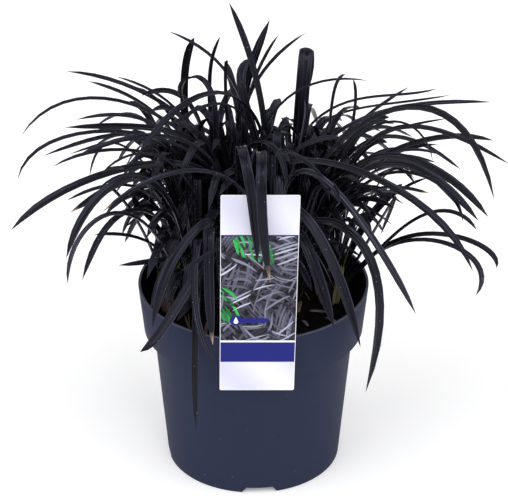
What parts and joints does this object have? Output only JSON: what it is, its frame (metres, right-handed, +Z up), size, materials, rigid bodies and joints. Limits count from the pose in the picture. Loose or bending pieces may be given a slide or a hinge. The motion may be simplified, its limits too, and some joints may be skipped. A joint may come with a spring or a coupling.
{
  "type": "black mondo grass in a nursery pot",
  "caption": "Tufts of near-black strap leaves growing in soil in a round tapered plastic nursery pot, with a blank plant label hung on the rim.",
  "frame": {"origin": "centre of the foot pad under the pot, on the ground", "axes": "+Z up along the pot's axis, -Y towards the label on the front of the rim"},
  "size_m": [0.368, 0.2605, 0.355],
  "materials": {
    "pot_plastic": "matte moulded",
    "soil": "rough peat",
    "label_plastic": "satin print",
    "dry_sheath": "dry papery",
    "leaf": "satin"
  },
  "bodies": {
    "root": {"pot": "pot_plastic", "soil": "soil", "label": "label_plastic", "sheath_outer_left": "dry_sheath", "sheath_outer_right": "dry_sheath", "tuft_outer_left": "leaf", "tuft_left": "leaf", "tuft_back_left": "leaf", "tuft_back": "leaf", "tuft_centre": "leaf", "tuft_back_right": "leaf", "tuft_right": "leaf", "tuft_outer_right": "leaf", "tuft_front_left": "leaf", "tuft_front_right": "leaf"}
  },
  "joints": []
}
